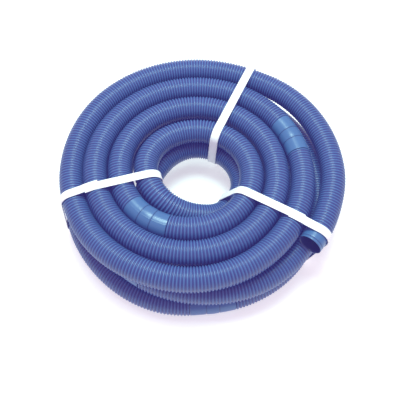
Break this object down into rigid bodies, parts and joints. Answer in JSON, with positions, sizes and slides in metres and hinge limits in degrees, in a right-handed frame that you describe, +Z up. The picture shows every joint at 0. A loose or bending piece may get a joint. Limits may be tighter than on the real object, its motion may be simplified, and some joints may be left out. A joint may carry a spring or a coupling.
{
  "type": "pool vacuum hose",
  "caption": "Blue corrugated pool vacuum hose with smooth moulded cuffs, coiled in flat layers and tied with white straps.",
  "frame": {"origin": "middle of the coil's footprint, on the floor that its straps rest on", "axes": "+Z up along the coil's axis; the open outer cuff is at +X -Y, on the top layer; -Y is the side that the picture looks from"},
  "size_m": [0.4932, 0.4774, 0.131],
  "materials": {
    "hose": "satin blue polyethylene, moulded with fine round corrugations",
    "cuff": "smooth satin-gloss blue polyethylene",
    "strap": "white polypropylene strapping, slightly shiny"
  },
  "bodies": {
    "root": {"end_cuff_outer": "cuff", "hose_section_1": "hose", "double_cuff_1": "cuff", "hose_section_2": "hose", "double_cuff_2": "cuff", "hose_section_3": "hose", "double_cuff_3": "cuff", "hose_section_4": "hose", "double_cuff_4": "cuff", "hose_section_5": "hose", "double_cuff_5": "cuff", "hose_section_6": "hose", "end_cuff_inner": "cuff", "strap_left": "strap", "strap_top": "strap", "strap_right": "strap"}
  },
  "joints": []
}
